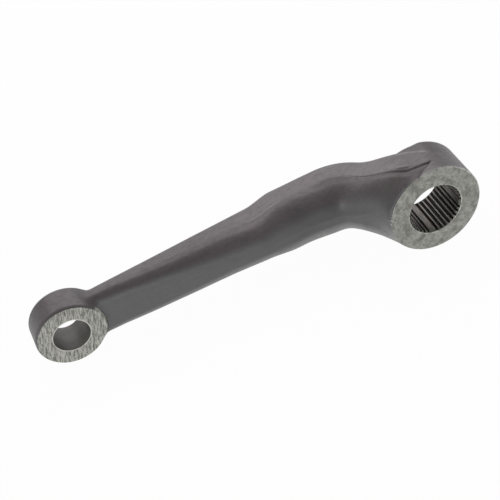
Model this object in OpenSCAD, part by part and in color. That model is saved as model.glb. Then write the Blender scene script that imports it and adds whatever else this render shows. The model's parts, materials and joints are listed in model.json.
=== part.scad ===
// Drop-forged pitman arm: a serrated eye for the steering box shaft, an arm that steps back
// behind it in one S-bend, and a small eye with a tapered hole for a ball stud.

/* [Arm] */
// Distance between the axes of the two holes
centre_distance = 210.8; // [170:0.1:260]
// How far the small eye's machined face lies behind the large eye's
face_drop = 35; // [20:0.5:50]
// Radius of the arm's middle line at each end of the bend
bend_radius = 25; // [20:0.5:30]
// Steepest slope of the bend, in degrees
bend_angle = 42; // [34:1:50]
// How far the bend starts before the large eye's axis
bend_lead = 5; // [0:0.5:8]
// How much deeper the bend goes than the small eye's middle
bend_extra = 0; // [-1:0.1:2]
// Step from the small eye's machined face down to the arm, at the eye's axis
tip_step = 4.25; // [2:0.25:6]
// Thickness in front of the die seam, beyond the bend
bend_front = 15.5; // [11:0.1:17]
// Thickness behind the die seam, through the bend
bend_rear = 14.5; // [10:0.1:16]
// Extra thickness in front, in the hollow of the bend
bend_fill = 3; // [0:0.1:4]
// Distance of that extra thickness from the large eye's axis
fill_distance = 57; // [52:1:62]
// Length over which it grows
fill_length = 10; // [8:1:20]
// Thickness in front of the die seam at the small eye's axis
tip_front = 3.4; // [3:0.1:6]
// Thickness behind the die seam at the small eye's axis
tip_rear = 6.4; // [4:0.1:7]
// Thickness behind the die seam inside the large eye
root_rear = 9.2; // [7:0.1:13]
// Distance from the large eye's axis in which it grows to that of the bend
root_length = 25; // [20:1:35]
// Step from the large eye's machined face down to the arm
root_step = 1; // [0.5:0.25:3]
// How far the arm's sides lie inside the large eye's wall, at its axis
root_inset = 0.4; // [0.2:0.1:5]
// Width of the arm through the bend
bend_width = 33; // [27:0.2:36]
// Width of the arm at its waist, beyond the bend
waist_width = 25.8; // [18:0.1:27]
// Width of the arm at the small eye's axis
tip_width = 29.8; // [20:0.2:34]
// Distance of the waist from the large eye's axis
waist_distance = 93; // [88:1:120]
// Length over which the waist widens into the bend
swell_length = 18; // [16:1:30]
// Length over which the arm flares into the large eye
flare_length = 28.4; // [20:0.2:32]
// How far that flare starts from the large eye's wall
flare_reach = 4.2; // [2:0.1:10]
// Radius of the arm's rear corners
corner_radius = 5; // [3:0.25:7]
// Radius of the arm's front corners through the bend
front_radius = 13; // [8:0.25:14]
// Radius of the arm's front corners towards the small eye
tip_radius = 6.5; // [4:0.25:8]
// Length beyond the bend's hollow over which they shrink to that
round_length = 110; // [80:1:130]
// Extra radius of the front corners at the large eye
root_round = 5; // [0:0.5:8]
// Lean of the arm's sides away from the die seam, in degrees
draft = 5; // [1:0.5:7]

/* [Large eye] */
// Outside diameter of the large eye
large_diameter = 55.6; // [52:0.2:64]
// Thickness of the large eye
large_thickness = 28; // [27.5:0.5:34]
// Radius of the large eye's rear edge
large_edge = 2; // [1:0.25:3]
// Edge broken around both machined faces
face_edge = 0.8; // [0.2:0.1:1.2]
// Diameter of the nut's seat, cut from the rear
seat_diameter = 44; // [38:0.5:50]
// Depth of that seat below the large eye's rear face
seat_depth = 0.5; // [0.25:0.25:1.5]

/* [Serrations] */
// Number of serration pitches around the hole
serration_pitches = 36; // [24:4:40]
// Number of wide lands left uncut, evenly spaced
wide_lands = 4; // [2:2:4]
// Direction of the first wide land, from the line of the arm
wide_land_angle = 75; // [0:1:89]
// Diameter over the crests of the serrations
crest_diameter = 30; // [26:0.1:32]
// Depth of each serration
serration_depth = 1; // [0.6:0.1:1.4]
// Width of each serration at the crests
serration_width = 1.85; // [1.2:0.05:1.9]
// Width of each serration at its root
serration_root = 0.8; // [0.3:0.05:1]
// Width of the chamfer at the mouths of the serrated hole
mouth_chamfer = 1.25; // [0.5:0.25:2]

/* [Small eye] */
// Outside diameter of the small eye
small_diameter = 41; // [39:0.2:46]
// Thickness of the small eye
small_thickness = 19; // [18.5:0.5:26]
// Radius of the small eye's rear edge
small_edge = 3; // [1:0.25:4]
// Diameter of the tapered hole in the machined face
taper_diameter = 21.7; // [16:0.1:25]
// Length of taper in which the hole narrows by one
taper_ratio = 8; // [6:0.5:12]

/* [Hidden] */
$fn = 96;

// Steps of the swept arm and of one rounded corner
arm_steps = 56;
corner_steps = 6;
edge_steps = 6;
// Largest share of the half width that a corner takes
roundest = 0.8;
// Overrun of the cutters past the faces
overrun = 1;

// Levels along the holes, measured from the middle of the large eye
large_face = large_thickness / 2;
seat_face = seat_depth - large_face;
small_face = large_face - face_drop;
small_middle = small_face - small_thickness / 2;
// Both eyes stand on one level
lean = asin((large_diameter - small_diameter) / 2 / centre_distance);

// Smooth step from 0 to 1
function ease(t) = t <= 0 ? 0 : t >= 1 ? 1 : t * t * (3 - 2 * t);
function mix(a, b, t) = a + (b - a) * t;

// The bend: an arc back, a straight slope and an arc forward again
bend_start = -bend_lead;
bend_drop = bend_extra - small_middle;
// A shallow drop meets arc to arc, at less than the full slope
bend_slope = min(bend_angle, acos(1 - bend_drop / 2 / bend_radius));
arc_run = bend_radius * sin(bend_slope);
arc_drop = bend_radius * (1 - cos(bend_slope));
slope_run = (bend_drop - 2 * arc_drop) / tan(bend_slope);
bend_end = bend_start + 2 * arc_run + slope_run;
tip_level = small_face - tip_step - tip_front;
// Slope of the arm's middle line, and its level
function arc_slope(run) = run <= 0 ? 0 : run >= arc_run ? bend_slope : asin(run / bend_radius);
function arm_slope(x) = min(arc_slope(x - bend_start), arc_slope(bend_end - x));
function straight_share(x) = (x - bend_end) / (centre_distance - bend_end);
function arm_level(x) =
    x <= bend_start ? 0 :
    x >= bend_end ? mix(-bend_drop, tip_level, straight_share(x)) :
    x < bend_start + arc_run ? -bend_radius * (1 - cos(arm_slope(x))) :
    x > bend_end - arc_run ? -bend_drop + bend_radius * (1 - cos(arm_slope(x))) :
    -arc_drop - (x - bend_start - arc_run) * tan(bend_slope);

// Share of the way from the waist to the small eye's axis
function tip_share(x) = max(0, min(1, (x - waist_distance) / (centre_distance - waist_distance)));
// The arm widens from its waist into the bend, and again close to the large eye
flare_end = large_diameter / 2 + flare_reach;
root_width = large_diameter - 2 * root_inset;
function swell(x) = (bend_width - waist_width) * ease((waist_distance - x) / swell_length);
function flare_share(x) = ease((flare_end - x) / flare_length);
function flare(x) = (root_width - bend_width) * flare_share(x);
function arm_width(x) = mix(waist_width, tip_width, tip_share(x)) + swell(x) + flare(x);
// Thickness behind the die seam, less where the arm runs out in the large eye
function root_share(x) = ease(1 - x / root_length);
function rear_half(x) =
    mix(bend_rear, tip_rear, tip_share(x)) - (bend_rear - root_rear) * root_share(x);
// Thickness in front of it, fuller in the hollow of the bend
function fill_share(x) = ease((fill_distance - x) / fill_length);
function front_half(x) = mix(bend_front, tip_front, tip_share(x)) + bend_fill * fill_share(x);
// Radius of the corners, never more than the section has room for
function rear_corner(x) = min(corner_radius, rear_half(x));
function round_share(x) = ease((x - fill_distance) / round_length);
function front_round(x) = mix(front_radius, tip_radius, round_share(x)) + root_round * flare_share(x);
function front_corner(x) = min(front_round(x), front_half(x), roundest * arm_width(x) / 2);

// One corner of the section, as points across and through the arm
function corner(across, through, radius, from, to) = [
    for (i = [0 : corner_steps])
        let (a = mix(from, to, i / corner_steps))
        [across + radius * cos(a), through + radius * sin(a)]
];
// Centre of a corner whose arc meets the leaning side
function centre(side, depth, radius) = side - (depth - radius) * tan(draft) - radius / cos(draft);
function half_section(side, depth, radius) = concat(
    corner(centre(side, depth, radius), depth - radius, radius, draft, 90),
    corner(-centre(side, depth, radius), depth - radius, radius, 90, 180 - draft),
    [[-side, 0]]
);
// The front half, and the rear half turned about the middle line
function section_at(x) = concat(
    half_section(arm_width(x) / 2, front_half(x), front_corner(x)),
    [for (p = half_section(arm_width(x) / 2, rear_half(x), rear_corner(x))) -p]
);
// The section set square to the middle line
function placed(x, p) = [
    x + p[1] * sin(arm_slope(x)),
    p[0],
    arm_level(x) + p[1] * cos(arm_slope(x))
];

module arm() {
    sides = len(section_at(0));
    stations = [for (i = [0 : arm_steps]) centre_distance * i / arm_steps];
    points = [
        for (x = stations)
            for (p = section_at(x))
                placed(x, p)
    ];
    walls = [
        for (i = [0 : arm_steps - 1])
            for (j = [0 : sides - 1])
                let (a = i * sides, b = a + sides, k = (j + 1) % sides)
                each [[a + j, b + j, b + k], [a + j, b + k, a + k]]
    ];
    first = [for (j = [0 : sides - 1]) j];
    last = [for (j = [sides - 1 : -1 : 0]) arm_steps * sides + j];
    difference() {
        polyhedron(points, concat(walls, [first, last]), convexity = 6);
        // Nothing of the arm stands above the step at the machined face
        translate([-large_diameter, -large_diameter, large_face - root_step])
            cube([3 * large_diameter, 2 * large_diameter, large_thickness]);
    }
}

// A turned disc between two levels, with its rear edge rounded
module eye(diameter, thickness, edge, face) {
    rear = face - thickness;
    rounded = [
        for (i = [0 : edge_steps])
            let (a = -90 * i / edge_steps)
            [diameter / 2 - edge + edge * cos(a), rear + edge + edge * sin(a)]
    ];
    rotate_extrude()
        polygon(concat(
            [[0, face], [diameter / 2 - face_edge, face], [diameter / 2, face - face_edge]],
            rounded,
            [[0, rear]]
        ));
}

// The serrated hole: a round hole with a groove at every pitch that isn't a wide land
module serrated_hole() {
    crest = crest_diameter / 2;
    root = crest + serration_depth;
    per_land = serration_pitches / wide_lands;
    height = large_thickness + 2 * overrun;
    translate([0, 0, -height / 2])
        cylinder(h = height, d = crest_diameter);
    for (land = [0 : wide_lands - 1])
        for (i = [1 : per_land - 1])
            rotate([0, 0, wide_land_angle + 360 * (land + i / per_land) / wide_lands])
                translate([0, 0, -height / 2])
                    linear_extrude(height)
                        polygon([
                            [crest - overrun, -serration_width / 2],
                            [crest, -serration_width / 2],
                            [root, -serration_root / 2],
                            [root, serration_root / 2],
                            [crest, serration_width / 2],
                            [crest - overrun, serration_width / 2]
                        ]);
    for (mouth = [[0, large_face], [180, -seat_face]])
        rotate([mouth[0], 0, 0])
            translate([0, 0, mouth[1] - mouth_chamfer])
                cylinder(
                    h = mouth_chamfer + overrun,
                    r1 = crest,
                    r2 = crest + mouth_chamfer + overrun
                );
}

// The nut's seat, with room for a socket through the back of the arm's root
module nut_seat() {
    bottom = -bend_drop - bend_rear - overrun;
    translate([0, 0, bottom])
        cylinder(h = seat_face - bottom, d = seat_diameter);
}

// The ball stud's hole, narrowing from the machined face to the rear
module tapered_hole() {
    top = small_face + overrun;
    bottom = small_face - small_thickness - overrun;
    translate([centre_distance, 0, bottom])
        cylinder(
            h = top - bottom,
            d1 = taper_diameter - (small_face - bottom) / taper_ratio,
            d2 = taper_diameter + overrun / taper_ratio
        );
}

module pitman_arm() {
    color("dimgray")
        rotate([-90, 0, 180])
            rotate([0, 0, lean])
                difference() {
                    union() {
                        arm();
                        eye(large_diameter, large_thickness, large_edge, large_face);
                        translate([centre_distance, 0, 0])
                            eye(small_diameter, small_thickness, small_edge, small_face);
                    }
                    serrated_hole();
                    nut_seat();
                    tapered_hole();
                }
}

pitman_arm();
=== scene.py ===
# %% [markdown]
# # A drop-forged pitman arm
#
# A pitman arm is the lever between a steering box and the steering linkage. A hot steel bar is
# pressed between two dies, the seam is trimmed, and then a lathe, a mill and a broach cut the few
# places that have to fit. This lesson goes the same way: first the forging as one soft skin, then
# the finishes, then the cuts that leave bare steel behind, and last the floor and the light.

# %% The frame
import json
import math

import bpy
import numpy as np
from mathutils import Matrix, Vector


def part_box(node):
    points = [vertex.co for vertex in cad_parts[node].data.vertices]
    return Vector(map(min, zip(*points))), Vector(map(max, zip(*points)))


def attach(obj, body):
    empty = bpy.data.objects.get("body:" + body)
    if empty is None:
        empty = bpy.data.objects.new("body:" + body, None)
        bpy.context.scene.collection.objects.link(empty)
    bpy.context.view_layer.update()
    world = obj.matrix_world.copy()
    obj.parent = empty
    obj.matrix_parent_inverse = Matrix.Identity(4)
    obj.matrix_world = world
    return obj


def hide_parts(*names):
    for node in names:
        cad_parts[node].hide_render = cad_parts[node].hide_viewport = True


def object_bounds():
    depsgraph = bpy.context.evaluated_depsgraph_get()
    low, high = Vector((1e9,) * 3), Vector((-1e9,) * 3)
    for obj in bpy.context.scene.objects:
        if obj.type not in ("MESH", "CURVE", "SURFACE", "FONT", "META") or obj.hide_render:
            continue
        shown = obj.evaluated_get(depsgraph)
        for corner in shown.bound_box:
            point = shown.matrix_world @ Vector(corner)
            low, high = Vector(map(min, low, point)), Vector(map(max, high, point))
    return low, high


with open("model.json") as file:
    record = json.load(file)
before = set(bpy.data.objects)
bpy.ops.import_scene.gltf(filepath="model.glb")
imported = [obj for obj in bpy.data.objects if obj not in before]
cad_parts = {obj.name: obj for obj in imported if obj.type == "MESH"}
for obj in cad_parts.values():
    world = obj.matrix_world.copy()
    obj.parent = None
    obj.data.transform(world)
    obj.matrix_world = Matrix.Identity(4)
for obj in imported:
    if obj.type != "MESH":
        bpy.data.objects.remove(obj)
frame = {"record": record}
cad_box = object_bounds()
print("CAD box", [tuple(round(v, 4) for v in corner) for corner in cad_box])

# %% [markdown]
# ## Sizes
#
# The mounts in the record say where the two holes and the machined faces are, so nothing that has
# to fit is typed twice. The drawing frame used below is in millimetres: x runs from the large eye
# to the small one, y across the arm, and z along the holes, out of the machined faces.

# %% Sizes from the frame
MM = 0.001
mounts = {mount["name"]: mount for mount in frame["record"]["mounts"]}
places = {name: Vector(mount["pos_m"]) / MM for name, mount in mounts.items()}
low, high = (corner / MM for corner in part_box("pitman_arm"))

stud = places["ball_stud_hole"]
centre_distance = math.hypot(stud.x, stud.z)
lean = math.atan2(-stud.z, -stud.x)
large_face = -places["box_face"].y
seat_face = -places["nut_seat"].y
small_face = -stud.y
small_rear = -places["stud_nut_face"].y
large_radius = high.x
small_radius = -low.x + stud.x
crest_radius = mounts["serrated_bore"]["dims"]["r_mm"]
stud_radius = mounts["ball_stud_hole"]["dims"]["r_mm"]
print(f"holes {centre_distance:.1f} mm apart, leaning by {math.degrees(lean):.2f} degrees")
print(f"eyes {large_radius:.1f} and {small_radius:.1f} mm in radius")

# %% [markdown]
# ## The camera
#
# The photograph looks down on the machined faces from the front with a long lens, and the camera
# is rolled a little, which is why the arm runs uphill in the picture. A camera can be placed by
# eye, but this one was fitted to the rims of the faces and holes, so sizes and picture agree.

# %% Camera
CAMERA_PLACE = Vector((-205.5, -511.4, 491.7)) * MM
CAMERA_AIM = Vector((-102.0, 13.0, 4.2)) * MM
CAMERA_ROLL = math.radians(-16.53)
CAMERA_LENS = 93.6


def put_in_scene(name, data):
    """An object of the given name for a mesh, a lamp or a camera, linked to the scene."""
    thing = bpy.data.objects.new(name, data)
    bpy.context.scene.collection.objects.link(thing)
    return thing


camera = put_in_scene("camera", bpy.data.cameras.new("camera"))
camera.data.lens = CAMERA_LENS
gaze = (CAMERA_AIM - CAMERA_PLACE).to_track_quat("-Z", "Y").to_matrix()
camera.matrix_world = (
    Matrix.Translation(CAMERA_PLACE) @ (gaze @ Matrix.Rotation(CAMERA_ROLL, 3, "Z")).to_4x4()
)
bpy.context.scene.camera = camera
print("camera at", tuple(round(v, 3) for v in CAMERA_PLACE))

# %% [markdown]
# ## The middle line
#
# The arm follows one line: level inside the large eye, an arc back, a straight slope, an arc
# forward again, and a nearly level run to the small eye. A section swept along it would fold over
# itself inside the tight bend. So the question is turned round: for any point, `foot` finds where
# on that line it belongs and how high it stands over it, and the section is asked for there.

# %% The bend
bend_start = -5.0
bend_radius = 25.0
bend_slope = math.radians(42)
tip_step = 4.25
tip_front = 3.4
slope_step = 0.5

bend_drop = -(small_face + small_rear) / 2
arc_run = bend_radius * math.sin(bend_slope)
arc_drop = bend_radius * (1 - math.cos(bend_slope))
slope_run = (bend_drop - 2 * arc_drop) / math.tan(bend_slope)
bend_end = bend_start + 2 * arc_run + slope_run
tip_level = small_face - tip_step - tip_front


def level(x):
    """Height of the middle line: flat, arc, slope, arc, then a line to the small eye."""
    first = np.sqrt(bend_radius**2 - np.clip(x - bend_start, 0, arc_run) ** 2) - bend_radius
    second = bend_radius - np.sqrt(bend_radius**2 - np.clip(bend_end - x, 0, arc_run) ** 2)
    slope = -np.clip(x - bend_start - arc_run, 0, slope_run) * math.tan(bend_slope)
    climb = np.clip(x - bend_end, 0, None) * (tip_level + bend_drop) / (centre_distance - bend_end)
    return first + slope + second - arc_drop + climb


def upright(x):
    """Cosine of the middle line's slope: 1 where it is level, less on the bend."""
    climb = (level(x + slope_step) - level(x - slope_step)) / (2 * slope_step)
    return 1 / np.hypot(1, climb)


def foot(x, z):
    """Station on the middle line, and height square to it.

    On an arc the height is the distance to the arc's centre less its radius. On the slope the
    point is turned by the slope's angle.
    """
    cos, sin = math.cos(bend_slope), math.sin(bend_slope)
    corner_x, corner_z = bend_start + arc_run, -arc_drop
    second_centre = bend_radius - bend_drop
    first_angle = np.arctan2(x - bend_start, z + bend_radius)
    second_angle = np.arctan2(bend_end - x, second_centre - z)
    zones = [x <= bend_start, x >= bend_end, first_angle < bend_slope, second_angle < bend_slope]
    stations = [
        x,
        x,
        bend_start + bend_radius * np.sin(first_angle),
        bend_end - bend_radius * np.sin(second_angle),
    ]
    heights = [
        z,
        z - level(x),
        np.hypot(x - bend_start, z + bend_radius) - bend_radius,
        bend_radius - np.hypot(bend_end - x, second_centre - z),
    ]
    on_slope = corner_x + ((x - corner_x) * cos - (z - corner_z) * sin) * cos
    over_slope = (x - corner_x) * sin + (z - corner_z) * cos
    return np.select(zones, stations, on_slope), np.select(zones, heights, over_slope)


print(f"bend from {bend_start:.1f} to {bend_end:.1f} mm, {bend_drop:.1f} mm deep")

# %% [markdown]
# ## The section
#
# A forging is a rounded bar whose sides lean in a little away from the die seam, so that it lets
# go of the dies. It narrows to a waist beyond the bend and flares where it meets the large eye.
# A bevelled curve has one section that only grows or shrinks. Here each width, thickness and
# corner is a formula of its own along the arm, so they can change independently.


# %% Soft steps
def ease(t):
    """Smooth step: 3 t^2 - 2 t^3 between 0 and 1."""
    t = np.clip(t, 0, 1)
    return t * t * (3 - 2 * t)


def rise(value, start, length):
    """0 up to the start, 1 from a length further on, smooth between."""
    return ease((value - start) / length)


def span(x, first, last, fade):
    """1 between two places, fading over a length at each end."""
    return rise(x, first, fade) * ease((last - x) / fade)


def bell(t):
    """A bell curve, e to the power of -t^2: 1 at 0 and nearly 0 beyond 2."""
    return np.exp(-(t * t))


def blend(a, b, share):
    """A straight mix of two values."""
    return a + (b - a) * share


def soft_minimum(a, b, reach, least_reach=1e-6):
    """The smaller of two fields, eased over the reach so that their corner fills up.

    Where they are closer than the reach, a quarter of it times the squared share comes off.
    """
    reach = np.maximum(reach, least_reach)
    share = np.maximum(reach - np.abs(a - b), 0) / reach
    return np.minimum(a, b) - share * share * reach / 4


print("a step halfway up:", ease(0.5), "and two equal fields of 0 joined:", soft_minimum(0, 0, 4))

# %% Widths
widest = 27.7
widest_ease = 1.6
root_swell = 0.25
bend_width = 33.0
waist_width = 25.8
tip_width = 29.8
waist_distance = 93.0
swell_length = 18.0
flare_length = 28.4
flare_reach = 4.2
flare_end = large_radius + flare_reach
root_width = 2 * (large_radius + root_swell)


def flare(station):
    """0 along the arm, 1 inside the large eye."""
    return ease((flare_end - station) / flare_length)


def tip_share(station):
    """0 up to the waist, then in a straight line to 1 at the small eye's axis."""
    return np.clip((station - waist_distance) / (centre_distance - waist_distance), 0, 1)


def half_width(station):
    """Waist to tip in a straight line, plus the swell at the bend and the flare at the eye.

    At the eye it stands a little proud of the wall, as the forging does, but never past its top.
    """
    swell = (bend_width - waist_width) * ease((waist_distance - station) / swell_length)
    wide = (root_width - bend_width) * flare(station)
    width = blend(waist_width, tip_width, tip_share(station)) + swell + wide
    return soft_minimum(width / 2, widest - math.tan(lean) * station, widest_ease)


print(f"half width {half_width(60.0):.1f} mm in the bend, {half_width(100.0):.1f} mm at the waist")

# %% Thicknesses and corners
bend_front = 15.5
bend_rear = 14.5
bend_fill = 3.0
fill_distance = 68.0
fill_length = 23.0
tip_rear = 6.4
root_rear = 9.2
root_length = 25.0
corner_radius = 5.0
root_corner = 2.5
front_radius = 13.0
tip_radius = 6.5
round_length = 110.0
root_round = 5.0
roundest = 0.8


def rear_half(station):
    """A straight taper from the waist to the tip, less where the arm runs out in the large eye."""
    taper = blend(bend_rear, tip_rear, tip_share(station))
    return taper - (bend_rear - root_rear) * ease(1 - station / root_length)


def front_half(station):
    """The same kind of taper, fuller in the hollow of the bend."""
    fill = bend_fill * ease((fill_distance - station) / fill_length)
    return blend(bend_front, tip_front, tip_share(station)) + fill


def rear_corner(station):
    """Radius of the rear corners, smaller where the arm runs out on the large eye."""
    return blend(root_corner, corner_radius, ease(station / root_length))


def front_corner(station):
    """Radius of the front corners: largest at the large eye, as far as the section has room."""
    radius = blend(front_radius, tip_radius, rise(station, fill_distance, round_length))
    radius = radius + root_round * flare(station)
    return np.minimum(np.minimum(radius, front_half(station)), roundest * half_width(station))


print(f"{front_half(60.0) + rear_half(60.0):.1f} mm thick in the bend")

# %% [markdown]
# ## The forging as a field
#
# Arm and eyes could be separate meshes joined by a Boolean, but every joint would be a sharp
# corner to bevel by hand. Instead each form is written as a distance: below zero inside, above
# zero outside. Two such fields join with a soft minimum, which fills the corner between them as a
# die does. Marks go in the same way: adding a little to the field sinks the surface by that much.

# %% The arm
draft = math.radians(5)
seam_lift = 7.6
seam_lift_start = 42.0
seam_lift_length = 30.0
seam_dip = 1.2
seam_dip_start = 8.0
seam_dip_length = 12.0
seam_round = 1.2
skin_gain = 0.15
front_gain = 0.5
root_step = 1.0


def seam(x):
    """Height of the die seam: the middle line, lifted where it climbs the large eye, then a dip."""
    lift = seam_lift * ease((seam_lift_start - x) / seam_lift_length)
    return level(x) + lift - seam_dip * ease((seam_dip_start - x) / seam_dip_length)


def rounded_box(across, through, radius):
    """Distance to a box with rounded corners, from how far a point lies past each wall."""
    across = across + radius
    through = through + radius
    outside = np.hypot(np.maximum(across, 0), np.maximum(through, 0))
    return outside + np.minimum(np.maximum(across, through), 0) - radius


def below_face(z):
    """Distance over the level, a step below the large machined face, at which the arm ends."""
    return z - large_face + root_step


def arm_field(x, y, z):
    """The section at the foot of each point, ended at both holes and below the machined face."""
    station, height = foot(x, z)
    rear = rear_half(station)
    front = front_half(station) + front_gain
    middle = (front - rear) / 2
    corner = np.where(height > middle, front_corner(station), rear_corner(station))
    from_seam = np.hypot((z - seam(x)) * upright(x), seam_round) - seam_round
    along = 1 - flare(station)
    side = half_width(station) + (skin_gain - math.tan(draft) * from_seam) * along
    bar = rounded_box(np.abs(y) - side, np.abs(height - middle) - (front + rear) / 2, corner)
    ends = np.maximum(-x, x - centre_distance)
    return np.maximum(np.maximum(bar, ends), below_face(z))


print(f"die seam at {seam(0.0):.1f} mm on the large eye and {seam(60.0):.1f} mm in the bend")

# %% The eyes
stock = 1.0
rear_stock = 0.5
large_edge = 2.0
small_edge = 3.0
large_front_edge = 0.6
small_front_edge = 3.2


def eye_field(x, y, z, centre, radius, front, rear, edge, front_edge):
    """A disc with rounded edges, and some stock left in front for the facing cut."""
    front = front + stock
    middle = (front + rear) / 2
    across = np.hypot(x - centre, y) - radius
    through = np.abs(z - middle) - (front - rear) / 2
    return rounded_box(across, through, np.where(z < middle, edge, front_edge))


def large_eye(x, y, z):
    """The large eye alone, with stock for the nut's seat too."""
    faces = (large_face, seat_face - rear_stock)
    return eye_field(x, y, z, 0, large_radius, *faces, large_edge, large_front_edge)


def small_eye(x, y, z):
    """The small eye alone."""
    faces = (small_face, small_rear)
    return eye_field(x, y, z, centre_distance, small_radius, *faces, small_edge, small_front_edge)


print(f"eyes {large_face - seat_face:.1f} and {small_face - small_rear:.1f} mm thick")

# %% [markdown]
# ### Marks of the forge
#
# The two dies never close quite square, which leaves a small step with a crease along the seam.
# Near the large eye the metal folded over itself in a lap, and the arm's rear edge runs out on the
# eye's wall as a heel. Hammering leaves shallow waves. All of them are real relief in the mesh,
# because light catches them from any side.

# %% Seam, crease and lap
mismatch = 0.4
mismatch_end = 38.0
mismatch_fade = 16.0
crease_depth = 0.2
crease_width = 0.6
flash_height = 0.1
flash_width = 0.7
flash_rise = 1.2
flash_span = (72.0, 97.0)
flash_fade = 6.0
lap_tip = np.array([-5.3, 6.1])
lap_end = np.array([5.6, 13.4])
lap_depth = 0.32
lap_width = 0.7


def lap_distance(x, z):
    """Distance to the lap, a short straight line that runs back from the seam's end to the rim."""
    along = lap_end - lap_tip
    share = ((x - lap_tip[0]) * along[0] + (z - lap_tip[1]) * along[1]) / (along @ along)
    share = np.clip(share, 0, 1)
    return np.hypot(x - lap_tip[0] - share * along[0], z - lap_tip[1] - share * along[1])


def arm_side(x, z):
    """1 on the arm's side of the lap, 0 beyond it."""
    along = (lap_end - lap_tip) / np.hypot(*(lap_end - lap_tip))
    off = (x - lap_tip[0]) * along[1] - (z - lap_tip[1]) * along[0]
    return ease(off / lap_width + 0.5)


def crease_lines(x, y, z):
    """Two bell curves: one about the crease along the seam, one about the lap at its end."""
    seam_line = bell((z - seam(x)) / crease_width) * arm_side(x, z)
    lap_line = bell(lap_distance(x, z) / lap_width) * (y < -large_radius / 2)
    return seam_line * ease((mismatch_end - x) / mismatch_fade), lap_line


def flash_line(x, z):
    """A bell curve about the line that trimming left just over the seam, beyond the bend."""
    return bell((z - seam(x) - flash_rise) / flash_width) * span(x, *flash_span, flash_fade)


def forge_marks(x, y, z):
    """How far the surface sinks: a step and a crease at the seam, and a lap at the rim."""
    shown = ease((mismatch_end - x) / mismatch_fade) * arm_side(x, z)
    step = mismatch * ease((z - seam(x)) / crease_width + 0.5) * shown
    seam_line, lap_line = crease_lines(x, y, z)
    return (
        step + crease_depth * seam_line + lap_depth * lap_line - flash_height * flash_line(x, z)
    )


print(f"lap {np.hypot(*(lap_end - lap_tip)):.1f} mm long, crease fading at {mismatch_end:.0f} mm")

# %% Heel and hammer waves
heel_place = (9.0, -12.4)
heel_rise = 0.53
heel_depth = 0.7
heel_width = 1.0
heel_span = (-9.0, 14.0)
heel_fade = 7.0
heel_inside = 23.0
heel_rounding = 3.0
wave_fade = 4.0
# Each set of waves: its depth, and the length and start of its sines along x, y and z.
long_waves = (0.10, ((9.1, 0.6), (7.3, 1.1), (6.7, 0.4)))
short_waves = (0.05, ((3.7, 2.1), (3.1, 0.3), (3.3, 1.7)))


def behind_heel(x, z):
    """Distance behind the line on which the arm's rear edge runs out over the wall."""
    return heel_place[1] + (heel_place[0] - x) * heel_rise - z


def heel(x, y, z):
    """How far the large eye's wall, but not its rear face, lies back behind the arm's rear edge."""
    behind = ease(behind_heel(x, z) / heel_width + 0.5) * span(x, *heel_span, heel_fade)
    return heel_depth * behind * rise(np.hypot(x, y), heel_inside, heel_rounding)


def hammer_waves(x, y, z):
    """Shallow waves that always sink the surface and never lift it.

    A set sinks it by its depth times half of 1 plus the product of its three sines.
    """
    sunk = 0
    for depth, sines in (long_waves, short_waves):
        swing = math.prod(
            np.sin(along / length + start) for along, (length, start) in zip((x, y, z), sines)
        )
        sunk = sunk + depth * (1 + swing) / 2
    return sunk * span(x, -large_radius, centre_distance + small_radius, wave_fade)


print(f"heel {heel_depth} mm, waves up to {long_waves[0] + short_waves[0]:.2f} mm")

# %% The whole forging
large_blend = 8.0
large_blend_start, large_blend_length = 2.0, 14.0
rear_blend = 1.0
rear_blend_start, rear_blend_length = 4.0, 8.0
seam_clear = 6.0
small_blend = 4.0
small_blend_start, small_blend_length = 6.0, 12.0


def forging(x, y, z):
    """Arm and eyes in one soft union, less the marks.

    The joint with the large eye gets softer along the arm and away from the seam.
    """
    large = large_eye(x, y, z) + heel(x, y, z)
    over_seam = z - seam(x)
    front_reach = large_blend * rise(x, large_blend_start, large_blend_length)
    rear_reach = rear_blend * rise(x, rear_blend_start, rear_blend_length)
    reach = front_reach * ease(over_seam / seam_clear) + rear_reach * ease(-over_seam / seam_clear)
    body = soft_minimum(arm_field(x, y, z), large, reach)
    body = np.minimum(np.maximum(body, below_face(z)), large)
    before_small = centre_distance - small_blend_start - x
    small_reach = small_blend * ease(before_small / small_blend_length)
    body = soft_minimum(body, small_eye(x, y, z), small_reach)
    return body + forge_marks(x, y, z) + hammer_waves(x, y, z)


print(f"the middle of the large eye lies {-forging(0.0, 0.0, 0.0):.1f} mm inside")

# %% [markdown]
# ## Grids to meshes
#
# Every surface here is a grid: rings of points, one after another, closed at both ends. Numbering
# the corners of all the quads at once is quicker to run and to read than adding faces one by one.
# A round end gets a fan to one middle point. An end that is a narrow slit is zipped up instead,
# because a fan would be made of long thin triangles there, and those shade badly.


# %% From the drawing to the part's frame
def to_row(points):
    """Turn by the lean about z, then x becomes -X, y becomes -Z and z becomes -Y, in metres."""
    x, y, z = np.moveaxis(np.asarray(points, float), -1, 0)
    along = x * math.cos(lean) - y * math.sin(lean)
    across = x * math.sin(lean) + y * math.cos(lean)
    return np.stack([-along, -z, -across], axis=-1) * MM


print("stud hole's mouth in the frame", to_row((centre_distance, 0, small_face)).round(4))


# %% A closed surface from rings
def grid(x, y, z):
    """Three arrays, stretched to one shape, as one array of points."""
    return np.stack(np.broadcast_arrays(x, y, z), axis=-1)


def fan(ring, pole):
    """Triangles from every side of a ring to one point."""
    return np.stack([ring, np.roll(ring, -1), np.full(len(ring), pole)], axis=-1).tolist()


def zipped(ring):
    """Quads across a slit, from each point to its mirror image, with a triangle at both tips."""
    half = len(ring) // 2
    left, right = ring[1:half], ring[:half:-1]
    quads = np.stack([left[:-1], left[1:], right[1:], right[:-1]], axis=-1).tolist()
    return [*quads, [right[0], ring[0], left[0]], [left[-1], ring[half], right[-1]]]


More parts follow.
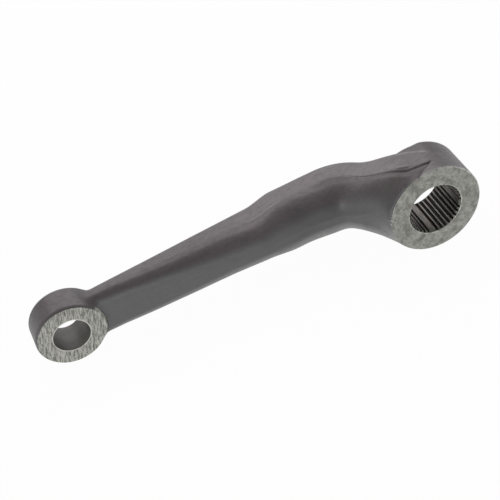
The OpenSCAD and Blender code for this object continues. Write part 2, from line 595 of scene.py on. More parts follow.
def closed_grid(name, rings, poles=None):
    """Quads between neighbouring rings, and a fan to a pole or a zipped slit at each end."""
    count, around = rings.shape[:2]
    points = rings.reshape(-1, 3)
    here = np.arange(count * around).reshape(count, around)
    beside = np.roll(here, -1, axis=1)
    quads = np.stack([here[:-1], here[1:], beside[1:], beside[:-1]], axis=-1)
    if poles is None:
        ends = zipped(here[0]), zipped(here[-1])
    else:
        points = np.concatenate([points, poles])
        ends = fan(here[0], count * around), fan(here[-1], count * around + 1)
    faces = quads.reshape(-1, 4).tolist() + ends[0] + [face[::-1] for face in ends[1]]
    mesh = bpy.data.meshes.new(name)
    mesh.from_pydata(to_row(points), [], faces)
    mesh.validate()
    return put_in_scene(name, mesh)


print("a slit of 8 points is zipped by", len(zipped(np.arange(8))), "faces")

# %% [markdown]
# ## The skin
#
# Around every station a ring of rays leaves the middle line, and halving the step again and again
# finds where each ray meets the field's zero. All rays are solved together as one array. A field
# can also be meshed in small cubes, but rings follow the arm and give even quads. At both ends
# the stations crowd together, so that the round eyes stay round.

# %% Rays from the middle line
AROUND = 256
EYE_STATIONS = 68
# Stretches of the arm: where each starts and ends, and its number of stations.
ARM_SPANS = ((0, 45, 75), (45, 105, 60), (105, 188, 46), (188, centre_distance, 34))
FIRST_TURN = math.radians(1)
HALVINGS = 36
RAY_LENGTH = 45.0
CENTRE_LIFT = 12.0
CENTRE_LIFT_PLACE = 26.0
CENTRE_LIFT_REACH = 8.0

turns = np.linspace(FIRST_TURN, math.pi / 2, EYE_STATIONS, endpoint=False)
stations = np.concatenate([
    -large_radius * np.cos(turns),
    *(np.linspace(first, last, count, endpoint=False) for first, last, count in ARM_SPANS),
    [centre_distance],
    centre_distance + small_radius * np.sin(math.pi / 2 - turns[::-1]),
])[:, None]
angles = np.linspace(0, 2 * math.pi, AROUND, endpoint=False)[None, :]
lift = CENTRE_LIFT * bell((stations - CENTRE_LIFT_PLACE) / CENTRE_LIFT_REACH)
ray_start = level(np.minimum(stations, centre_distance)) + lift


def ray_points(reach):
    """Points at a distance along every ray, which lies square to x."""
    return grid(stations, reach * np.sin(angles), ray_start + reach * np.cos(angles))


def skin_rings():
    """Halve the stretch between a point inside and one outside, and keep the inner one."""
    near = np.zeros((len(stations), AROUND))
    far = np.full_like(near, RAY_LENGTH)
    for _ in range(HALVINGS):
        reach = (near + far) / 2
        inside = forging(*np.moveaxis(ray_points(reach), -1, 0)) < 0
        near = np.where(inside, reach, near)
        far = np.where(inside, far, reach)
    return ray_points(near)


skin = closed_grid("pitman_arm_skin", skin_rings())
print("forged skin:", len(skin.data.polygons), "faces")

# %% [markdown]
# ## Shader maths
#
# A material is a tree of small nodes. Wrapping a socket in a class lets Python's own operators add
# the Math nodes, so a mask can be written as a formula. Any other node comes from one method.


# %% A small class for sockets
class Socket:
    """A node's output, with operators that add Math nodes."""

    def __init__(self, finish, link):
        self.finish = finish
        self.link = link

    def math(self, operation, first, second=0.0):
        """The result of one Math node."""
        node = self.finish.node("ShaderNodeMath", {"operation": operation}, {0: first, 1: second})
        return self.finish.out(node, 0)

    def __add__(self, other):
        return self.math("ADD", self, other)

    def __radd__(self, other):
        return self.math("ADD", other, self)

    def __sub__(self, other):
        return self.math("SUBTRACT", self, other)

    def __rsub__(self, other):
        return self.math("SUBTRACT", other, self)

    def __mul__(self, other):
        return self.math("MULTIPLY", self, other)

    def __rmul__(self, other):
        return self.math("MULTIPLY", other, self)

    def sine(self):
        """The sine of an angle in radians."""
        return self.math("SINE", self)

    def clipped(self):
        """The value held between 0 and 1."""
        return self.math("MINIMUM", self.math("MAXIMUM", self, 0.0), 1.0)


print("a socket can:", ", ".join(name for name, way in vars(Socket).items() if callable(way)))

# %% A class for finishes
FLATTENED = (1, 1e6, 1)


class Finish:
    """One node tree, of a material or of the world, with a method that adds any node."""

    def __init__(self, name, kind=bpy.data.materials, place="Object"):
        self.owner = kind.new(name)
        self.owner.use_nodes = True
        self.tree = self.owner.node_tree
        self.tree.nodes.clear()
        self.place = self.out(self.node("ShaderNodeTexCoord"), place)

    def node(self, kind, settings=None, sockets=None):
        """Any node: its settings first, then the values or links of its sockets."""
        made = self.tree.nodes.new(kind)
        for name, value in (settings or {}).items():
            setattr(made, name, value)
        for name, value in (sockets or {}).items():
            if isinstance(value, Socket):
                self.tree.links.new(value.link, made.inputs[name])
            else:
                made.inputs[name].default_value = value
        return made

    def out(self, node, name):
        """One of a node's outputs."""
        return Socket(self, node.outputs[name])

    def noise(self, size, detail=2.0, roughness=0.5, place=None):
        """Noise with patches of about the given size in millimetres, between 0 and 1."""
        sockets = {
            "Vector": place or self.place,
            "Scale": 1 / (size * MM),
            "Detail": detail,
            "Roughness": roughness,
        }
        return self.out(self.node("ShaderNodeTexNoise", None, sockets), "Fac")

    def stretched(self, turn, scale, centre=(0, 0, 0)):
        """Object coordinates moved, turned and stretched for a pattern with a direction."""
        sockets = {"Vector": self.place, "Location": centre, "Rotation": turn, "Scale": scale}
        made = self.node("ShaderNodeMapping", {"vector_type": "TEXTURE"}, sockets)
        return self.out(made, "Vector")

    def measured(self, operation, *vectors):
        """A number worked out from vectors, such as a length or a dot product."""
        sockets = dict(enumerate(vectors))
        made = self.node("ShaderNodeVectorMath", {"operation": operation}, sockets)
        return self.out(made, "Value")

    def from_axis(self, centre=(0, 0, 0)):
        """Distance in metres from a hole's axis: the place's length with its depth left out."""
        return self.measured("LENGTH", self.stretched((0, 0, 0), FLATTENED, centre))

    def rises(self, value, start, end):
        """0 below the start, 1 above the end, smooth between."""
        sockets = {"Value": value, "From Min": start, "From Max": end}
        made = self.node("ShaderNodeMapRange", {"interpolation_type": "SMOOTHSTEP"}, sockets)
        return self.out(made, "Result")

    def beyond(self, radius, start, end):
        """The same for a distance from an axis, with start and end in millimetres."""
        return self.rises(radius, start * MM, end * MM)

    def mix(self, share, a, b):
        """A mix of two colours."""
        sockets = {0: share, 6: a, 7: b}
        return self.out(self.node("ShaderNodeMix", {"data_type": "RGBA"}, sockets), 2)

    def attribute(self, name):
        """A number kept on the mesh's own points."""
        return self.out(self.node("ShaderNodeAttribute", {"attribute_name": name}), "Fac")

    def bump(self, height, depth, strength, under=None):
        """A Bump node: height from 0 to 1, depth in millimetres, over another bump if given."""
        sockets = {"Height": height, "Distance": depth * MM, "Strength": strength}
        if under:
            sockets["Normal"] = under
        return self.out(self.node("ShaderNodeBump", None, sockets), "Normal")

    def shader(self, **sockets):
        """A Principled shader, with its sockets named in Python's way."""
        names = {key: key.replace("_", " ").title().replace("Ior", "IOR") for key in sockets}
        values = {names[key]: value for key, value in sockets.items()}
        return self.out(self.node("ShaderNodeBsdfPrincipled", None, values), "BSDF")

    def covered(self, share, under, over):
        """One shader over another, by a share between 0 and 1."""
        made = self.node("ShaderNodeMixShader", None, {0: share, 1: under, 2: over})
        return self.out(made, "Shader")

    def looked_at(self):
        """1 for rays from the camera, from mirrors and through glass, 0 for light."""
        path = self.node("ShaderNodeLightPath")
        rays = [self.out(path, f"Is {kind} Ray") for kind in ("Camera", "Glossy", "Transmission")]
        return (rays[0] + rays[1] + rays[2]).clipped()

    def finished(self, shader, output="ShaderNodeOutputMaterial"):
        """The shader joined to the tree's output."""
        self.node(output, None, {"Surface": shader})
        return self.owner

    def surface(self, **sockets):
        """A material with one Principled shader."""
        return self.finished(self.shader(**sockets))


print("a finish can make:", ", ".join(name for name in vars(Finish) if not name.startswith("_")))

# %% [markdown]
# ## The forged skin's finish
#
# Hot steel grows a thin dark scale. It isn't paint: it is patchy, slightly rough and a bit glossy,
# browner on the trimmed flanks and bluer on the faces that the dies pressed. The flanks' scale is
# also lighter, which is painted light for the lamp on the upper flank. Fine grain and a few pits
# are bump, because they are far smaller than the mesh's grid.

# %% Forged scale
SCALE_COOL = (0.020, 0.0205, 0.023, 1)
# The flanks' tone is lighter than the faces': a brown oxide tint, and painted light for the lamp on
# the upper flank.
SCALE_WARM_LIT = (0.062, 0.040, 0.045, 1)
SCALE_DARK = (0.012, 0.011, 0.012, 1)
SCALE_PALE = (0.110, 0.105, 0.103, 1)
# Pale edges: wear on the flash line's streak, and painted highlights on the heel's ridge, the large
# eye's rim and the lower edge.
WEAR_AND_HIGHLIGHT = (0.230, 0.225, 0.220, 1)
# A matt coat: grime in the pits, and painted shade in creases, joints and shaded places.
DIRT_AND_SHADE = (0.030, 0.026, 0.025, 1)
SCALE_IOR = 1.95
SCALE_ROUGHNESS = 0.31
DIRT_AND_SHADE_ROUGHNESS = 0.8
DIRT_AND_SHADE_SPECULAR = 0.2


def forged_scale():
    """Brown scale on the flanks, lighter there as painted light, cool on the faces, clouded,
    mottled along the arm, pale with wear and with painted highlights on edges.

    A matt coat covers it: grime in the pits, and painted shade in creases, joints and shaded
    places. Clouds, grain and mottle add to the roughness.
    """
    f = Finish("forged_scale")
    flank, crease, worn, soot = map(f.attribute, ("flank", "crease", "worn", "soot"))
    along_arm = f.stretched(turn=(0, lean, 0), scale=(2.2, 1, 1))
    clouds = f.noise(size=9, detail=3, roughness=0.6)
    grain = f.noise(size=0.9, detail=4, roughness=0.65)
    pits = f.rises(f.noise(size=2.2, detail=2, roughness=0.7), start=0.68, end=0.80)
    spots = f.noise(size=1.7, detail=4, roughness=0.7, place=along_arm)
    mottle = f.rises(spots, start=0.40, end=0.66)
    # The flanks take the lighter brown tone: partly painted light.
    warm_lit = (flank + (clouds - 0.5) * 0.6).clipped()
    pale = ((grain - 0.35) * 0.5).clipped()
    dark = mottle * (flank * 0.35 + 0.2)
    # Pale edges: wear, and painted highlights.
    bare_and_lit = (worn * (f.rises(clouds, start=0.35, end=0.65) * 0.4 + 0.5)).clipped()
    # The matt coat: grime in pits, painted shade in creases and in the painted shade number.
    dirt_and_shade = (pits * 0.35 + crease * 0.65 + soot * 0.35).clipped()
    tone = f.mix(warm_lit, SCALE_COOL, SCALE_WARM_LIT)
    tone = f.mix(pale, tone, SCALE_PALE)
    tone = f.mix(dark, tone, SCALE_DARK)
    tone = f.mix(bare_and_lit, tone, WEAR_AND_HIGHLIGHT)
    rough = SCALE_ROUGHNESS + clouds * 0.10 + grain * 0.12 + mottle * 0.08
    normal = f.bump(grain, depth=0.06, strength=0.45)
    normal = f.bump(1 - pits, depth=0.10, strength=0.6, under=normal)
    scale = f.shader(base_color=tone, roughness=rough, normal=normal, ior=SCALE_IOR)
    dirt_and_shade_coat = f.shader(
        base_color=DIRT_AND_SHADE,
        roughness=DIRT_AND_SHADE_ROUGHNESS,
        normal=normal,
        specular_ior_level=DIRT_AND_SHADE_SPECULAR,
    )
    return f.finished(f.covered(dirt_and_shade, scale, dirt_and_shade_coat))


finishes = {"forged_scale": forged_scale()}
skin.data.materials.append(finishes["forged_scale"])
print("forged scale:", len(finishes["forged_scale"].node_tree.nodes), "nodes")

# %% [markdown]
# ## The machined finishes
#
# The large face was turned, so its marks are rings about the hole. The small face was ground or
# sawn straight across, so its marks are short upright strokes. The reamed and broached holes are
# smoother, and the grooves of the teeth are painted dark as shade. Each pattern is a formula of
# the place on the part, so it follows the tool's path and stays sharp from close by.

# %% The turned face
# Painted highlights on the chamfered edges at the rims of the faces and the mouths of the holes.
STEEL_HIGHLIGHT = (0.66, 0.66, 0.62, 1)
STEEL_LIGHT = (0.39, 0.39, 0.36, 1)
STEEL_MID = (0.25, 0.25, 0.228, 1)
STEEL_STAIN = (0.13, 0.13, 0.115, 1)
STEEL_ROUGHNESS = 0.42
RING_WIDTH = 0.55
RIM_SPAN = (large_radius - 0.75, large_radius - 0.35)
MOUTH_SPAN = (crest_radius + 0.9, crest_radius + 1.2)
MOUTH_END = (crest_radius + 1.3, crest_radius + 1.6)


def turned_face():
    """Rings about the hole's axis, a sine of the radius shifted by noise, with stains.

    The rim and the hole's mouth have painted highlights, broken up by the same clouds as the face.
    """
    f = Finish("turned_face")
    radius = f.from_axis()
    wobble = f.noise(size=4) * 9
    rings = (radius * (2 * math.pi / (RING_WIDTH * MM)) + wobble).sine() * 0.5 + 0.5
    clouds = f.noise(size=3.0, detail=4, roughness=0.7)
    fine = f.noise(size=0.7, detail=3, roughness=0.7)
    large_stains = f.rises(f.noise(size=7.0, detail=3, roughness=0.6), start=0.48, end=0.66)
    small_stains = f.rises(f.noise(size=1.6, detail=3, roughness=0.75), start=0.52, end=0.70)
    rim = f.beyond(radius, *RIM_SPAN)
    face = f.beyond(radius, *MOUTH_SPAN)
    mouth = face - f.beyond(radius, *MOUTH_END)
    # Painted highlights on the chamfers of the rim and the mouth.
    edge_highlight = ((rim + mouth) * f.rises(clouds, start=0.30, end=0.55)).clipped() * 0.8
    tone = f.mix(f.rises(clouds, start=0.35, end=0.65), STEEL_MID, STEEL_LIGHT)
    tone = f.mix((rings * 0.25 * fine).clipped(), tone, STEEL_STAIN)
    tone = f.mix(large_stains * 0.55, tone, STEEL_STAIN)
    tone = f.mix(small_stains * 0.8, tone, STEEL_STAIN)
    tone = f.mix(face, STEEL_STAIN, tone)
    tone = f.mix(edge_highlight, tone, STEEL_HIGHLIGHT)
    rough = STEEL_ROUGHNESS + clouds * 0.2
    normal = f.bump(rings * 0.5 + fine * 0.5, depth=0.02, strength=0.5)
    return f.surface(base_color=tone, roughness=rough, normal=normal, metallic=1.0)


finishes["turned_face"] = turned_face()
print(f"rings {RING_WIDTH} mm apart")

# %% The ground face
GROUND_DARK = (0.20, 0.20, 0.18, 1)
GROUND_LIGHT = (0.47, 0.47, 0.43, 1)
STEEL_OXIDE = (0.080, 0.077, 0.073, 1)
GROUND_ROUGHNESS = 0.40
STROKE_TURN = (0, math.radians(13), 0)
STUD_MOUTH = (stud_radius + 0.25, stud_radius + 0.6)


def ground_face():
    """Strokes along one direction: noise stretched along it, with pits where the skin is left."""
    f = Finish("ground_face")
    fine_strokes = f.stretched(turn=STROKE_TURN, scale=(1, 1, 9))
    wide_strokes = f.stretched(turn=STROKE_TURN, scale=(1, 1, 6))
    strokes = f.noise(size=0.55, detail=3, roughness=0.6, place=fine_strokes)
    coarse = f.noise(size=1.3, detail=2, roughness=0.6, place=wide_strokes)
    clouds = f.noise(size=5, detail=3, roughness=0.6)
    pits = f.rises(f.noise(size=0.8, detail=3, roughness=0.75), start=0.54, end=0.64)
    left = pits * (f.rises(clouds, start=0.40, end=0.60) * 0.5 + 0.4)
    mouth = 1 - f.beyond(f.from_axis(stud * MM), *STUD_MOUTH)
    # Painted highlight round the stud hole's mouth.
    edge_highlight = mouth * f.rises(clouds, start=0.25, end=0.50) * 0.9
    tone = f.mix(f.rises(strokes, start=0.38, end=0.58), GROUND_DARK, GROUND_LIGHT)
    tone = f.mix(f.rises(coarse, start=0.50, end=0.68) * 0.65, tone, STEEL_STAIN)
    tone = f.mix(left, tone, STEEL_OXIDE)
    tone = f.mix(edge_highlight, tone, STEEL_HIGHLIGHT)
    rough = GROUND_ROUGHNESS + strokes * 0.22
    normal = f.bump(strokes, depth=0.05, strength=0.7)
    return f.surface(base_color=tone, roughness=rough, normal=normal, metallic=1.0)


finishes["ground_face"] = ground_face()
print(f"strokes turned by {math.degrees(STROKE_TURN[1]):.0f} degrees")

# %% The holes
REAMED = (0.170, 0.163, 0.155, 1)
REAMED_METALLIC = 0.35
TOOTH_DARK = (0.130, 0.122, 0.114, 1)
TOOTH_LIGHT = (0.270, 0.258, 0.240, 1)
# Painted shade, darkest down in the grooves.
GROOVE_SHADE = (0.020, 0.019, 0.018, 1)
GROOVE_SPAN = (crest_radius + 0.05, crest_radius + 0.75)


def reamed_hole():
    """Fine rings along the hole, and grey oxide in patches."""
    f = Finish("reamed_hole")
    round_hole = f.stretched(turn=(0, 0, 0), scale=(8, 0.5, 8))
    rings = f.noise(size=0.8, detail=2, roughness=0.6, place=round_hole)
    clouds = f.noise(size=5, detail=3, roughness=0.6)
    tone = f.mix(f.rises(clouds, start=0.30, end=0.70), STEEL_STAIN, REAMED)
    rough = STEEL_ROUGHNESS + rings * 0.16
    normal = f.bump(rings, depth=0.015, strength=0.4)
    return f.surface(base_color=tone, roughness=rough, normal=normal, metallic=REAMED_METALLIC)


def broached_teeth():
    """Steel on the crests, going to black painted shade down in the grooves."""
    f = Finish("broached_teeth")
    along_hole = f.stretched(turn=(0, 0, 0), scale=(1, 10, 1))
    streaks = f.noise(size=0.7, detail=3, roughness=0.6, place=along_hole)
    tone = f.mix(f.rises(streaks, start=0.35, end=0.65), TOOTH_DARK, TOOTH_LIGHT)
    tone = f.mix(f.beyond(f.from_axis(), *GROOVE_SPAN), tone, GROOVE_SHADE)
    rough = STEEL_ROUGHNESS + streaks * 0.2
    normal = f.bump(streaks, depth=0.02, strength=0.4)
    return f.surface(base_color=tone, roughness=rough, normal=normal, metallic=1.0)


finishes["reamed_hole"] = reamed_hole()
finishes["broached_teeth"] = broached_teeth()
print("finishes:", ", ".join(finishes))

# %% [markdown]
# ## The cuts
#
# A cutter is a closed solid of its own, turned from a short profile. Boolean modifiers take the
# cutters away from the skin, and every face that a cutter leaves behind keeps the cutter's
# finish, so the bare steel ends exactly at the cut, as it does in the workshop. The bore comes
# first, as one tool for the seat, both mouths and the room inside the teeth, because several
# tools that share an axis and an edge are where a Boolean fails most easily.

# %% Turned cutters
TURNED_SIDES = 192
OVERRUN = 6.0
face_edge = 0.6
facing_reach = 0.8
facing_inside = 1.0
seat_radius = 22.0
seat_overrun = 45.0
mouth_chamfer = 1.25
mouth_slack = 0.1
taper_ratio = 8.0


def turned(name, profile, centre, finish, twist):
    """A profile of (radius, height) pairs turned about an axis along z, from a first angle."""
    turn = twist + np.linspace(0, 2 * math.pi, TURNED_SIDES, endpoint=False)
    profile = np.array(profile, float)
    radius, height = profile[:, :1], profile[:, 1:]
    rings = grid(centre + radius * np.cos(turn), -radius * np.sin(turn), height)
    cutter = closed_grid(name, rings, [(centre, 0, profile[0, 1]), (centre, 0, profile[-1, 1])])
    cutter.data.materials.append(finishes[finish])
    return cutter


def facing(name, centre, radius, face, finish, twist):
    """Flat over the face, with a small bevel at its rim that runs out past the wall."""
    profile = [
        (radius - face_edge, face),
        (radius + facing_reach, face - face_edge - facing_reach),
        (radius + facing_reach, face + OVERRUN),
        (facing_inside, face + OVERRUN),
    ]
    return turned(name, profile, centre, finish, twist)


def bore(twist):
    """The nut's seat, the rear mouth, room inside the crests and the front mouth in one profile."""
    slack = crest_radius - mouth_slack
    profile = [
        (seat_radius, seat_face - seat_overrun),
        (seat_radius, seat_face),
        (crest_radius + mouth_chamfer, seat_face),
        (slack, seat_face + mouth_chamfer + mouth_slack),
        (slack, large_face - mouth_chamfer - mouth_slack),
        (crest_radius + mouth_chamfer + OVERRUN, large_face + OVERRUN),
    ]
    return turned("bore", profile, 0, "turned_face", twist)


def stud_taper(twist):
    """A cone that narrows to the rear, longer than the eye at both ends."""
    slope = 1 / taper_ratio / 2
    profile = [
        (stud_radius - (small_face - small_rear + OVERRUN) * slope, small_rear - OVERRUN),
        (stud_radius + OVERRUN * slope, small_face + OVERRUN),
    ]
    return turned("stud_taper", profile, centre_distance, "reamed_hole", twist)


print(f"nut seat {2 * seat_radius:.0f} mm across, taper 1 in {taper_ratio:.0f}")

# %% [markdown]
# ### Serrations
#
# The shaft's fine teeth are cut by a broach with the same outline from end to end. Every pitch has
# the same eight points. Where a wide land is left, the groove's points just stay at the crests.

# %% The broach
serration_pitches = 36
wide_lands = 4
wide_land_angle = math.radians(75)
serration_depth = 1.0
serration_width = 1.85
serration_root = 0.8
land_points = 4


def broach():
    """The outline's angle and radius at every point, carried straight through the eye."""
    half_crest = serration_width / 2 / crest_radius
    half_root = serration_root / 2 / (crest_radius + serration_depth)
    pitch = 2 * math.pi / serration_pitches
    land = np.linspace(half_crest, pitch - half_crest, land_points + 2)[1:-1]
    across = np.concatenate([[-half_crest, -half_root, half_root, half_crest], land])
    deep = np.concatenate([[0, 1, 1, 0], np.zeros(land_points)])
    index = np.arange(serration_pitches)[:, None]
    grooved = index % (serration_pitches // wide_lands) != 0
    angle = (wide_land_angle + index * pitch + across).ravel()
    radius = (crest_radius + serration_depth * deep * grooved).ravel()
    front, rear = large_face + OVERRUN, seat_face - OVERRUN
    rings = grid(radius * np.cos(angle), radius * np.sin(angle), np.array([[front], [rear]]))
    cutter = closed_grid("broach", rings, [(0, 0, front), (0, 0, rear)])
    cutter.data.materials.append(finishes["broached_teeth"])
    return cutter


print(f"{serration_pitches} pitches with {wide_lands} wide lands")

# %% [markdown]
# ### Cutting
#
# A Boolean can leave a hole where a tool's edge meets the skin's by bad luck. So the open edges
# are counted after the cuts, and if there are any, the turned tools are turned by a tiny angle,
# which changes no shape, and the cuts are made again.

# %% Taking the tools away
TWISTS = (0.0, 0.004, 0.009, 0.013)
SHARP_ANGLE = math.radians(28)


def cutting_tools(twist):
    """All tools in the order of their use."""
    return [
        bore(twist),
        broach(),
        facing("large_facing", 0, large_radius, large_face, "turned_face", twist),
        facing("small_facing", centre_distance, small_radius, small_face, "ground_face", twist),
        stud_taper(twist),
    ]


def carve(blank, tools):
    """Take every tool away from the blank, return the result as a mesh and drop the tools."""
    for tool in tools:
        cut = blank.modifiers.new(tool.name, "BOOLEAN")
        cut.operation = "DIFFERENCE"
        cut.solver = "EXACT"
        cut.material_mode = "TRANSFER"
        cut.object = tool
    shaped = blank.evaluated_get(bpy.context.evaluated_depsgraph_get())
    mesh = bpy.data.meshes.new_from_object(shaped)
    blank.modifiers.clear()
    for tool in tools:
        bpy.data.meshes.remove(tool.data)
    return mesh


def open_edges(mesh):
    """How many edges don't join exactly two faces: none where the skin is closed."""
    edges = np.empty(len(mesh.loops), np.int32)
    mesh.loops.foreach_get("edge_index", edges)
    return int((np.bincount(edges, minlength=len(mesh.edges)) != 2).sum())


for twist in TWISTS:
    carved = carve(skin, cutting_tools(twist))
    still_open = open_edges(carved)
    print(f"tools turned by {twist}: {still_open} open edges")
    if still_open == 0:
        break
skin.data = carved
carved.name = skin.name
carved.shade_smooth()
carved.set_sharp_from_angle(angle=SHARP_ANGLE)
print("after the cuts:", len(carved.polygons), "faces,", [m.name for m in carved.materials])

# %% [markdown]
# ## Numbers on the points
#
# The scale's finish needs to know where the flanks, the creases, the painted shade and the edges
# with wear and painted highlights are. The field that made the shape also answers that, so each
# number is worked out once and kept on the mesh.


# %% Points and directions
def to_drawing(points):
    """The way back: from metres in the part's frame to millimetres in the drawing."""
    along, z, across = -np.moveaxis(np.asarray(points, float), -1, 0) / MM
    x = along * math.cos(lean) + across * math.sin(lean)
    y = across * math.cos(lean) - along * math.sin(lean)
    return np.stack([x, y, z], axis=-1)


def in_drawing(source, name):
    """All of a mesh's vectors of one kind as x, y and z in the drawing."""
    values = np.empty(len(source) * 3, np.float32)
    source.foreach_get(name, values)
    return to_drawing(values.reshape(-1, 3)).T


def keep(name, values):
    """Store one number between 0 and 1 for every point."""
    values = np.clip(values, 0, 1)
    held = skin.data.attributes.new(name, "FLOAT", "POINT")
    held.data.foreach_set("value", values.astype(np.float32))
    print(f"{name}: {values.min():.2f} to {values.max():.2f}, mean {values.mean():.2f}")


x, y, z = in_drawing(skin.data.vertices, "co")
_, sideways, forward = in_drawing(skin.data.vertex_normals, "vector") * MM
upper = y < 0
print(f"{upper.mean():.0%} of the points lie on the upper half")

# %% Flanks, and painted shade in creases
FLANK_START, FLANK_TURN = 0.35, 0.5
LAP_SHADE = 0.7
SMALL_JOINT_SHADE = 0.6
SMALL_JOINT_WIDTH = 2.0

flank = rise(np.abs(sideways), FLANK_START, FLANK_TURN)
seam_line, lap_line = crease_lines(x, y, z)
from_joint = np.abs(arm_field(x, y, z)) + np.abs(small_eye(x, y, z))
small_joint = SMALL_JOINT_SHADE * bell(from_joint / SMALL_JOINT_WIDTH)
keep("flank", flank)
# The crease number is painted shade in the seam's crease, along the lap and where the arm meets the
# small eye.
keep("crease", seam_line + LAP_SHADE * lap_line + small_joint)

# %% Painted shade
# Painted shade where shade falls: on the upper flank in front of the seam by the large eye, on the
# front of the bend, behind the heel, and on the flanks towards the small eye.
UPPER_FLANK_START, UPPER_FLANK_FADE = 11.0, 8.0
SHADE_EDGE = 2.0
# Stretches along the arm: first and last place, and the fade at each end.
SEAM_SHADE_SPAN = (-8.0, 60.0, 14.0)
FRONT_SHADE_SPAN = (8.0, 95.0, 40.0)
HEEL_SHADE_SPAN = (-22.0, 12.0, 8.0)
FRONT_START, FRONT_TURN = 0.45, 0.4
FRONT_SHADE_END, FRONT_SHADE_FADE = 0.12, 0.25
OUTER_SHADE_START, OUTER_SHADE_LENGTH = 75.0, 60.0
FRONT_SHADE = 0.8
HEEL_SHADE = 0.35
OUTER_SHADE = 0.5

upper_flank = rise(-y, UPPER_FLANK_START, UPPER_FLANK_FADE)
seam_shade = ease((z - seam(x)) / SHADE_EDGE) * arm_side(x, z) * upper_flank
seam_shade = seam_shade * span(x, *SEAM_SHADE_SPAN)
front_shade = rise(forward, FRONT_START, FRONT_TURN) * span(x, *FRONT_SHADE_SPAN)
front_shade = front_shade * ease((FRONT_SHADE_END - sideways) / FRONT_SHADE_FADE)
heel_shade = ease(behind_heel(x, z) / SHADE_EDGE) * upper_flank * span(x, *HEEL_SHADE_SPAN)
outer_shade = OUTER_SHADE * flank * rise(x, OUTER_SHADE_START, OUTER_SHADE_LENGTH)
keep("soot", seam_shade + FRONT_SHADE * front_shade + HEEL_SHADE * heel_shade + outer_shade)

# %% Edge wear and painted highlights
RIDGE_SPAN = (-10.0, 10.0, 5.0)
RIM_WIDTH = 1.2
RIM_DEPTH = 1.5
OUTER_START, OUTER_LENGTH = 45.0, 45.0
LOWER_SPAN = (4.0, 196.0, 14.0)
# On the lower edge the painted highlight starts at one turn by the bend and at another beyond it.
LOWER_START, LOWER_START_OUTER = -0.10, 0.04
LOWER_TURN = 0.45
LOWER_FRONT = 0.3
LOWER_HIGHLIGHT, LOWER_HIGHLIGHT_OUTER = 1.0, 0.75
RIM_HIGHLIGHT = 0.7
STREAK_WORN = 0.6

# Painted highlights on the heel's ridge, on the large eye's rim beside the face and along the lower
# edge, where they stand for the floor's reflection. The flash line's streak is wear.
outer = rise(x, OUTER_START, OUTER_LENGTH)
lower_start = blend(LOWER_START, LOWER_START_OUTER, outer)
lower_edge = rise(sideways, lower_start, LOWER_TURN) * ease(forward / LOWER_FRONT)
lower_edge = lower_edge * span(x, *LOWER_SPAN) * blend(LOWER_HIGHLIGHT, LOWER_HIGHLIGHT_OUTER, outer)
ridge = bell(behind_heel(x, z) / heel_width) * span(x, *RIDGE_SPAN) * upper
rim = ease(1 - np.abs(np.hypot(x, y) - large_radius) / RIM_WIDTH) * (z > large_face - RIM_DEPTH)
streak = flash_line(x, z) * upper
keep("worn", ridge + RIM_HIGHLIGHT * rim + lower_edge + STREAK_WORN * streak)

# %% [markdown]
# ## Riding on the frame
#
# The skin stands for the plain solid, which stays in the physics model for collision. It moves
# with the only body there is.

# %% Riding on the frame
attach(skin, "root")
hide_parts("pitman_arm")
print(skin.name, "stands for pitman_arm")

# %% [markdown]
# ## Floor and light
#
# The part stands on its edge on a pale floor. One wide soft lamp hangs above and behind it, which
# is what the upper flank mirrors, and a second one stands low in front for the machined faces.
# The room is darker above the camera, and the rounded corner between flank and front mirrors
# that. Floor and horizon look white to the camera and to mirrors, but add no more light.

# %% Floor
FLOOR_SIZE = 8.0
FLOOR_COLOUR = (0.86, 0.86, 0.86, 1)
FLOOR_GLOW = 0.97
WHITE = (1, 1, 1, 1)


def pale_floor():
    """Plain diffuse floor, which rays from the camera and from mirrors see as nearly white."""
    f = Finish("pale_floor")
    matt = f.out(f.node("ShaderNodeBsdfDiffuse", None, {"Color": FLOOR_COLOUR}), "BSDF")
    glow = f.node("ShaderNodeEmission", None, {"Color": WHITE, "Strength": 1.0})
    return f.finished(f.covered(f.looked_at() * FLOOR_GLOW, matt, f.out(glow, "Emission")))


half = FLOOR_SIZE / 2
floor_level = cad_box[0].z
floor_mesh = bpy.data.meshes.new("floor")
corners = [(-half, -half), (half, -half), (half, half), (-half, half)]
floor_mesh.from_pydata([(*corner, floor_level) for corner in corners], [], [(0, 1, 2, 3)])
floor_mesh.materials.append(pale_floor())
floor = put_in_scene("floor", floor_mesh)
print(f"floor at {floor_level:.4f} m")

# %% Lamps
part_middle = (cad_box[0] + cad_box[1]) / 2


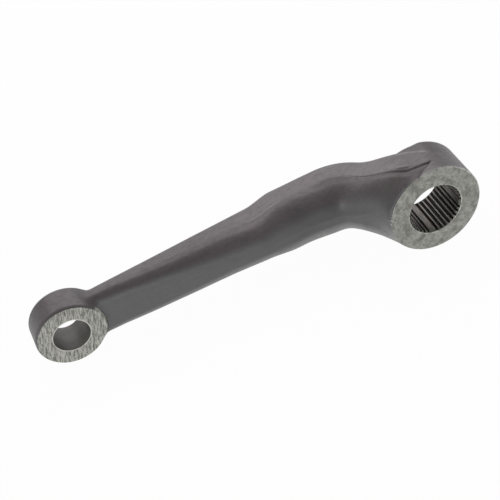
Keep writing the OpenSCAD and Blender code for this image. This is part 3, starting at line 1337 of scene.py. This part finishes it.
def soft_lamp(name, direction, distance, size, watts, tint):
    """A lamp of the given width and height that faces the part from a direction."""
    lamp = put_in_scene(name, bpy.data.lights.new(name, "AREA"))
    lamp.data.shape = "RECTANGLE"
    lamp.data.size, lamp.data.size_y = size
    lamp.data.energy = watts
    lamp.data.color = tint
    out = Vector(direction).normalized()
    lamp.location = part_middle + out * distance
    lamp.rotation_euler = out.to_track_quat("Z", "Y").to_euler()
    print(f"{name}: {watts} W, {size[0]} by {size[1]} m, {distance} m away")


soft_lamp(
    "upper_back",
    direction=(0.05, 0.40, 0.30),
    distance=0.5,
    size=(0.72, 0.42),
    watts=1.05,
    tint=(1.0, 0.94, 0.955),
)
soft_lamp(
    "low_front",
    direction=(-0.7, -1.0, 0.20),
    distance=0.9,
    size=(0.6, 0.6),
    watts=2.1,
    tint=(0.97, 1.0, 1.0),
)

# %% Walls and ceiling
WALL_LIGHT = (0.60, 0.60, 0.60, 1)
CEILING_LIGHT = (0.36, 0.36, 0.366, 1)
CEILING_PLACE = (0.0, -0.72, 0.69)
CEILING_SPAN = (0.35, 0.95)
HORIZON_SPAN = (0.12, 0.30)
UP = (0, 0, 1)


def studio():
    """Pale walls, a darker place above the camera, and a horizon that looks white.

    How far a ray goes towards a place is the dot product of its direction and that place.
    """
    room = Finish("studio", bpy.data.worlds, "Generated")
    ceiling = room.rises(room.measured("DOT_PRODUCT", room.place, CEILING_PLACE), *CEILING_SPAN)
    low_ray = 1 - room.rises(room.measured("DOT_PRODUCT", room.place, UP), *HORIZON_SPAN)
    tone = room.mix(ceiling, WALL_LIGHT, CEILING_LIGHT)
    tone = room.mix(low_ray * room.looked_at(), tone, WHITE)
    light = room.node("ShaderNodeBackground", None, {"Color": tone, "Strength": 1.0})
    return room.finished(room.out(light, "Background"), "ShaderNodeOutputWorld")


bpy.context.scene.world = studio()
print("room", CEILING_LIGHT[:3], "above the camera and", WALL_LIGHT[:3], "elsewhere")

# %% [markdown]
# ## The end
#
# The colours are shown as they are, with the Standard view transform.

# %% The view transform
bpy.context.scene.view_settings.view_transform = "Standard"
